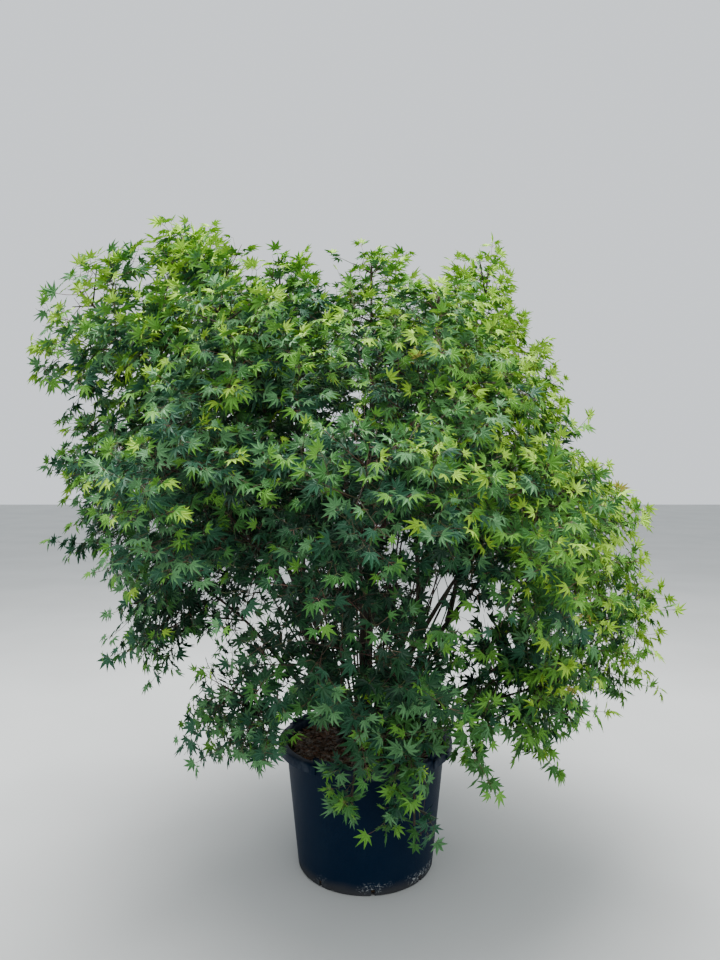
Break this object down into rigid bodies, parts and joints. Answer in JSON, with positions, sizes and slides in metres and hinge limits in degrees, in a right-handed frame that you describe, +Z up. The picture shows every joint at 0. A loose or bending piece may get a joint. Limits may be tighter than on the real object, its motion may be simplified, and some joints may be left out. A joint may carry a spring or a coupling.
{
  "type": "potted japanese maple",
  "caption": "Many-stemmed japanese maple shrub in a round nursery container with grip loops on its rolled rim, fanning stems and layered masses of lobed leaves.",
  "frame": {"origin": "middle of the pot's flat underside, on the ground", "axes": "+Z up along the pot's axis, -Y towards the front that the picture shows, +X to its right"},
  "size_m": [2.4002, 2.1916, 2.5477],
  "materials": {
    "pot_plastic": "scuffed matte blue-black polyethylene",
    "bark_mulch": "coarse brown bark chips over moist compost",
    "bark": "smooth grey-brown bark with a green cast",
    "leaves": "thin matte green leaves, fresher green at the tips"
  },
  "bodies": {
    "root": {"pot": "pot_plastic", "handle_front_left": "pot_plastic", "handle_front_right": "pot_plastic", "handle_back_right": "pot_plastic", "handle_back_left": "pot_plastic", "soil": "bark_mulch", "trunk": "bark", "bough_right": "bark", "bough_back_right": "bark", "bough_back": "bark", "bough_back_left": "bark", "bough_left": "bark", "bough_left_low": "bark", "bough_front_left": "bark", "bough_front": "bark", "bough_front_right": "bark", "bough_right_low": "bark", "bough_top_right": "bark", "bough_top_left": "bark", "bough_left_peak": "bark", "bough_left_middle": "bark", "bough_low_left_spray": "bark", "bough_front_top_left": "bark", "bough_front_top": "bark", "bough_front_low": "bark", "bough_rim_spray": "bark", "bough_rim_spray_left": "bark", "bough_low_right_spray": "bark", "bough_inner_spray": "bark", "bough_right_shoulder": "bark", "bough_back_top_right": "bark", "bough_back_low": "bark", "bough_back_top_left": "bark", "foliage_right": "leaves", "foliage_back_right": "leaves", "foliage_back": "leaves", "foliage_back_left": "leaves", "foliage_left": "leaves", "foliage_left_low": "leaves", "foliage_front_left": "leaves", "foliage_front": "leaves", "foliage_front_right": "leaves", "foliage_right_low": "leaves", "foliage_top_right": "leaves", "foliage_top_left": "leaves", "foliage_left_peak": "leaves", "foliage_left_middle": "leaves", "foliage_low_left_spray": "leaves", "foliage_front_top_left": "leaves", "foliage_front_top": "leaves", "foliage_front_low": "leaves", "foliage_rim_spray": "leaves", "foliage_rim_spray_left": "leaves", "foliage_low_right_spray": "leaves", "foliage_inner_spray": "leaves", "foliage_right_shoulder": "leaves", "foliage_back_top_right": "leaves", "foliage_back_low": "leaves", "foliage_back_top_left": "leaves", "foliage_top_centre": "leaves"}
  },
  "joints": []
}
